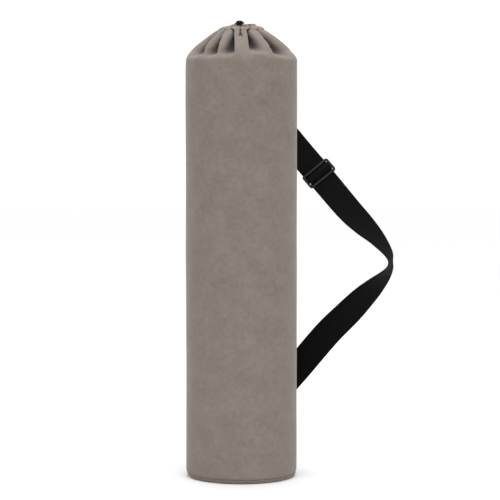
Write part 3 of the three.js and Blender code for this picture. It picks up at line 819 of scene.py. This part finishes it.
# Strap webbing. One length of flat black webbing, sewn to the bag's back at its upper and
# lower ends. The upper half runs through the slider and the ring and comes back to the middle
# bar of the slider, where it is folded over and sewn.
strap_width = 0.041
webbing_thickness = 0.0013
strap_reach = 0.2285
strap_spread = 0.527
strap_middle_height = 0.3156
lift_off = math.radians(12)
slider_distance = 0.199
slider_length = 0.0234
slider_bar = 0.0038
slider_thickness = 0.0026
slider_chamfer = 0.0007
ring_distance = 0.071
ring_pitch = 0.012
ring_wire = 0.003
side_clearance = 0.0004
half_thickness = webbing_thickness / 2
webbing_step = 0.0035
face_points = 15
face_share = 0.985
edge_share = 0.994
near_layer = -(clearance + half_thickness)
far_layer = near_layer - webbing_thickness - clearance
ring_wrap = ring_wire / 2 + clearance + half_thickness
ring_face = near_layer - ring_wrap
bar_reach = math.hypot(slider_bar / 2, slider_thickness / 2 - slider_chamfer)
bar_wrap = bar_reach + clearance + half_thickness
over_wrap = bar_wrap + webbing_thickness + clearance
slider_face = near_layer + bar_wrap
bar_pitch = (slider_length - slider_bar) / 2
strap_end_ring = ring_distance + ring_pitch

# Distance round the bag from the back seam as a share of the strap's reach, height as a share
# of half its spread, and degrees that its face turns from the camera side to the outside
strap_route = (
    (-0.060, 1.062, 0), (0.070, 0.932, 0), (0.180, 0.822, 0), (0.225, 0.779, 0),
    (0.300, 0.706, 9), (0.380, 0.629, 21), (0.445, 0.566, 24), (0.510, 0.503, 24),
    (0.608, 0.404, 25), (0.722, 0.292, 32), (0.814, 0.214, 45), (0.897, 0.146, 62),
    (0.959, 0.083, 75), (0.992, 0.038, 84), (1.000, 0.000, 90), (0.991, -0.038, 82),
    (0.955, -0.084, 68), (0.893, -0.141, 51), (0.811, -0.211, 34), (0.713, -0.298, 19),
    (0.595, -0.399, 10), (0.490, -0.503, 4), (0.380, -0.618, 0), (0.175, -0.822, 0),
    (-0.060, -1.056, 0),
)
last_row = len(strap_route) - 1


def on_route(t):
    """Out, height and turn of the strap's middle line, for t from 0 to the last row."""
    i = min(int(t), last_row - 1)
    rows = [strap_route[min(max(k, 0), last_row)] for k in range(i - 1, i + 3)]
    out, up, turn = (smooth_between(a, b, (b - before) / 2, (after - a) / 2, t - i)
                     for before, a, b, after in zip(*rows))
    return (out * strap_reach, strap_middle_height + up * strap_spread / 2, math.radians(turn))


route_steps = 600
route_lengths = [0.0]
for step in range(1, route_steps + 1):
    a = on_route((step - 1) / route_steps * last_row)
    b = on_route(step / route_steps * last_row)
    route_lengths.append(route_lengths[-1] + math.hypot(b[0] - a[0], b[1] - a[1]))
route_length = route_lengths[-1]


def route_place(distance):
    """The value of t at one distance along the strap."""
    distance = min(max(distance, 0.0), route_length)
    low, high = 0, route_steps
    while high - low > 1:
        middle = (low + high) // 2
        if route_lengths[middle] <= distance:
            low = middle
        else:
            high = middle
    part = (distance - route_lengths[low]) / (route_lengths[high] - route_lengths[low])
    return (low + part) / route_steps * last_row


def rolled(out, height, off):
    """A place by its distance round the bag, its height and its distance off the cloth."""
    angle = min(out / bag_radius, lift_off)
    beyond = out - angle * bag_radius
    radius = bag_radius + off
    return Vector((math.sin(angle) * radius + math.cos(angle) * beyond,
                   math.cos(angle) * radius - math.sin(angle) * beyond, height))


def on_strap(along, face, across):
    """A place on the strap: along its route, off its face on the camera side, and across it."""
    t = route_place(along)
    out, height, turn = on_route(t)
    a, b = on_route(max(t - 0.001, 0)), on_route(min(t + 0.001, last_row - 0.0001))
    way = Vector((b[0] - a[0], b[1] - a[1])).normalized()
    side = across * math.cos(turn) + face * math.sin(turn)
    off = across * math.sin(turn) - face * math.cos(turn)
    return rolled(out - way.y * side, height + way.x * side, off)


def bend(path, along, face, radius, start, end):
    """Adds a bend round a bar to a path drawn along and off the strap."""
    steps = math.ceil(abs(end - start) / 12)
    for i in range(steps + 1):
        angle = math.radians(start + (end - start) * i / steps)
        path.append(Vector((along + radius * math.cos(angle), face + radius * math.sin(angle))))


def around_section(section):
    """Distance round a closed section at each of its points."""
    lengths = [0.0]
    for a, b in zip(section, section[1:] + section[:1]):
        lengths.append(lengths[-1] + math.hypot(b[0] - a[0], b[1] - a[1]))
    return lengths


def webbing_rings(path):
    """Rings of webbing along a path, with rounded woven edges, and its lengths for the map."""
    fine = [path[0]]
    for a, b in zip(path, path[1:]):
        pieces = max(1, round((b - a).length / webbing_step))
        fine += [a.lerp(b, i / pieces) for i in range(1, pieces + 1)]
    half = strap_width / 2
    face = [(half * (1 - 2 * i / (face_points - 1)) * face_share, half_thickness)
            for i in range(face_points)]
    edge = [(half * edge_share, half_thickness * 0.75), (half, 0),
            (half * edge_share, -half_thickness * 0.75)]
    section = face + [(-across, through) for across, through in edge]
    section += [(across, -through) for across, through in reversed(face)] + edge[::-1]
    rings, lengths = [], [0.0]
    for i, point in enumerate(fine):
        before, after = fine[max(i - 1, 0)], fine[min(i + 1, len(fine) - 1)]
        way = (after - before).normalized()
        rings.append([on_strap(point.x - way.y * through, point.y + way.x * through, across)
                      for across, through in section])
        if i:
            lengths.append(lengths[-1] + (point - before).length)
    return rings, around_section(section), lengths


black_webbing, tree, shader, place = new_material("black_webbing")
ribs = woven(tree, place.outputs["UV"], 620.0, 480.0)
lint = grain(tree, place, 220.0, 4.0)
feed(tree, shader, {
    "Base Color": mix_colours(
        tree, math_node(tree, "MULTIPLY", ribs, lint),
        (0.0010, 0.0010, 0.0011, 1), (0.0042, 0.0042, 0.0045, 1)),
    "Roughness": spread(tree, lint, 0.0, 1.0, 0.62, 0.85), "Specular IOR Level": 0.08,
    "Normal": bumps(tree, ribs, 0.5, 0.0005)})

steep = math.degrees(math.asin((bar_wrap + over_wrap) / bar_pitch))
strap_path = [Vector((route_length, near_layer))]
bend(strap_path, slider_distance + bar_pitch, slider_face, bar_wrap, -90, -90 - steep)
bend(strap_path, slider_distance, slider_face, over_wrap, 90 - steep, 90 + steep)
bend(strap_path, slider_distance - bar_pitch, slider_face, bar_wrap, -90 + steep, -90)
bend(strap_path, strap_end_ring, ring_face, ring_wrap, 90, 270)
strap_path.append(Vector((strap_end_ring + ring_pitch, far_layer)))
strap_path.append(Vector((slider_distance - bar_pitch + slider_bar, far_layer)))
bend(strap_path, slider_distance, slider_face, bar_wrap, -72, 200)
strap = show_piece("strap_webbing_woven", loft(
    *webbing_rings(strap_path), False), black_webbing)
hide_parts("strap_webbing")

# Ring tab. A short length of the same webbing, folded round the ring and sewn to the bag's
# back with both layers together.
tab_path = [Vector((0, near_layer))]
bend(tab_path, ring_distance, ring_face, ring_wrap, 90, -90)
tab_path.append(Vector((ring_distance - ring_pitch, far_layer)))
tab_path.append(Vector((0, far_layer)))
ring_tab = show_piece("ring_tab_woven", loft(
    *webbing_rings(tab_path), False), black_webbing)
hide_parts("ring_tab")

# Strap stitches. Black thread in a crossed box at each sewn end, and a short bar of thread
# across the layers beside the ring and beside the slider.
strap_stitch_pitch = 0.0036
strap_stitch_share = 0.8
box_inset = 0.0035
bar_inset = 0.003
bar_rows_apart = 0.002
black_thread = thread_material("black_thread", (0.012, 0.012, 0.013))
strap_stitches = bmesh.new()


def sew_line(a, b, face):
    """A row of stitches from a to b, each given along and across the strap, on one face."""
    a, way = Vector(a), Vector(b) - Vector(a)
    count = max(2, round(way.length / strap_stitch_pitch))
    for i in range(count):
        start, end = a + way * (i / count), a + way * ((i + strap_stitch_share) / count)
        low = on_strap(start.x, face - stitch_lift, start.y)
        high = on_strap(end.x, face - stitch_lift, end.y)
        above = on_strap(start.x, face - 10 * stitch_lift, start.y)
        sew(strap_stitches, low, high, (above - low).normalized(), stitch_width)


def sew_box(low, high, face):
    """A box of stitches with a cross in it, between two places along the strap."""
    edge = strap_width / 2 - box_inset
    corners = [(low, -edge), (high, -edge), (high, edge), (low, edge)]
    for i in range(4):
        sew_line(corners[i], corners[(i + 1) % 4], face)
    sew_line(corners[0], corners[2], face)
    sew_line(corners[1], corners[3], face)


far_face = far_layer - half_thickness
box_start, box_end = 0.004, 0.036
sew_box(box_start, box_end, far_face)
sew_box(route_length - box_end, route_length - box_start, near_layer - half_thickness)
bar_end = strap_width / 2 - bar_inset
for distance, face in ((0.052, far_face), (0.104, far_face), (0.104, near_layer + half_thickness)):
    for row in (distance, distance + bar_rows_apart):
        sew_line((row, -bar_end), (row, bar_end), face)
show_piece("strap_stitches", strap_stitches, black_thread)

# Slider and ring. Both are bent from black enamelled metal bar: the slider is a rounded frame
# with a middle bar, and the ring a long rounded loop of wire.
black_enamel, tree, shader, place = new_material("black_enamel")
orange_peel = grain(tree, place, 700.0, 2.0)
feed(tree, shader, {
    "Base Color": mix_colours(
        tree, orange_peel, (0.002, 0.002, 0.002, 1), (0.005, 0.005, 0.005, 1)),
    "Roughness": spread(tree, orange_peel, 0.0, 1.0, 0.22, 0.42), "Specular IOR Level": 0.15,
    "Coat Weight": 0.06, "Coat Roughness": 0.12, "Normal": bumps(tree, orange_peel, 0.12, 0.0001)})


def strap_frame(along, face):
    """Turns local places (along, across, off the face) into places at one spot on the strap."""
    origin = on_strap(along, face, 0)
    across = (on_strap(along, face, 1e-3) - origin).normalized()
    off = (on_strap(along, face + 1e-3, 0) - origin).normalized()
    forward = across.cross(off)
    matrix = Matrix((forward, across, off)).transposed().to_4x4()
    matrix.translation = origin
    return matrix


def bar_section(wide, tall, corner, steps):
    """Points round a bar with rounded corners, outwards and up."""
    points = []
    for x, y, start in ((1, 1, 0), (-1, 1, 90), (-1, -1, 180), (1, -1, 270)):
        for i in range(steps + 1):
            angle = math.radians(start + 90 * i / steps)
            points.append((x * (wide / 2 - corner) + corner * math.cos(angle),
                           y * (tall / 2 - corner) + corner * math.sin(angle)))
    return points


loop_corner = 0.002
corner_steps = 8
bar_overlap = 0.0003


def loop_rings(matrix, long, wide, section):
    """Rings of bar along a closed rounded rectangle, laid flat where the matrix puts it."""
    straight_x, straight_y = long / 2 - loop_corner, wide / 2 - loop_corner
    rings = []
    for x, y, start in ((1, -1, -90), (1, 1, 0), (-1, 1, 90), (-1, -1, 180)):
        for i in range(corner_steps + 1):
            angle = math.radians(start + 90 * i / corner_steps)
            way = Vector((math.cos(angle), math.sin(angle)))
            point = Vector((x * straight_x, y * straight_y)) + way * loop_corner
            rings.append([matrix @ Vector((point.x + way.x * a, point.y + way.y * a, b))
                          for a, b in section])
    return rings


outer_width = strap_width + 2 * side_clearance + slider_bar
section = bar_section(slider_bar, slider_thickness, slider_chamfer, 3)
at_slider = strap_frame(slider_distance, slider_face)
frame_rings = loop_rings(at_slider, 2 * bar_pitch, outer_width, section)
slider = show_piece("strap_slider_frame", loft(
    frame_rings, around_section(section), lengths_along(frame_rings, 0), True),
    black_enamel)
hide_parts("strap_slider")
bar_half = outer_width / 2 - slider_bar / 2 + bar_overlap
bar_rings = [[at_slider @ Vector((a, bar_half * share, b)) for a, b in section]
             for share in (-1, -0.5, 0, 0.5, 1)]
show_piece("strap_slider_bar", loft(
    bar_rings, around_section(section), lengths_along(bar_rings, 0), False),
    black_enamel)

wire = bar_section(ring_wire, ring_wire, ring_wire / 2, 4)
at_ring = strap_frame(ring_distance + ring_pitch / 2, ring_face)
ring_width = strap_width + 2 * side_clearance + ring_wire
ring_rings = loop_rings(at_ring, ring_pitch, ring_width, wire)
ring = show_piece("strap_ring_wire", loft(
    ring_rings, around_section(wire), lengths_along(ring_rings, 0), True),
    black_enamel)
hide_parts("strap_ring")
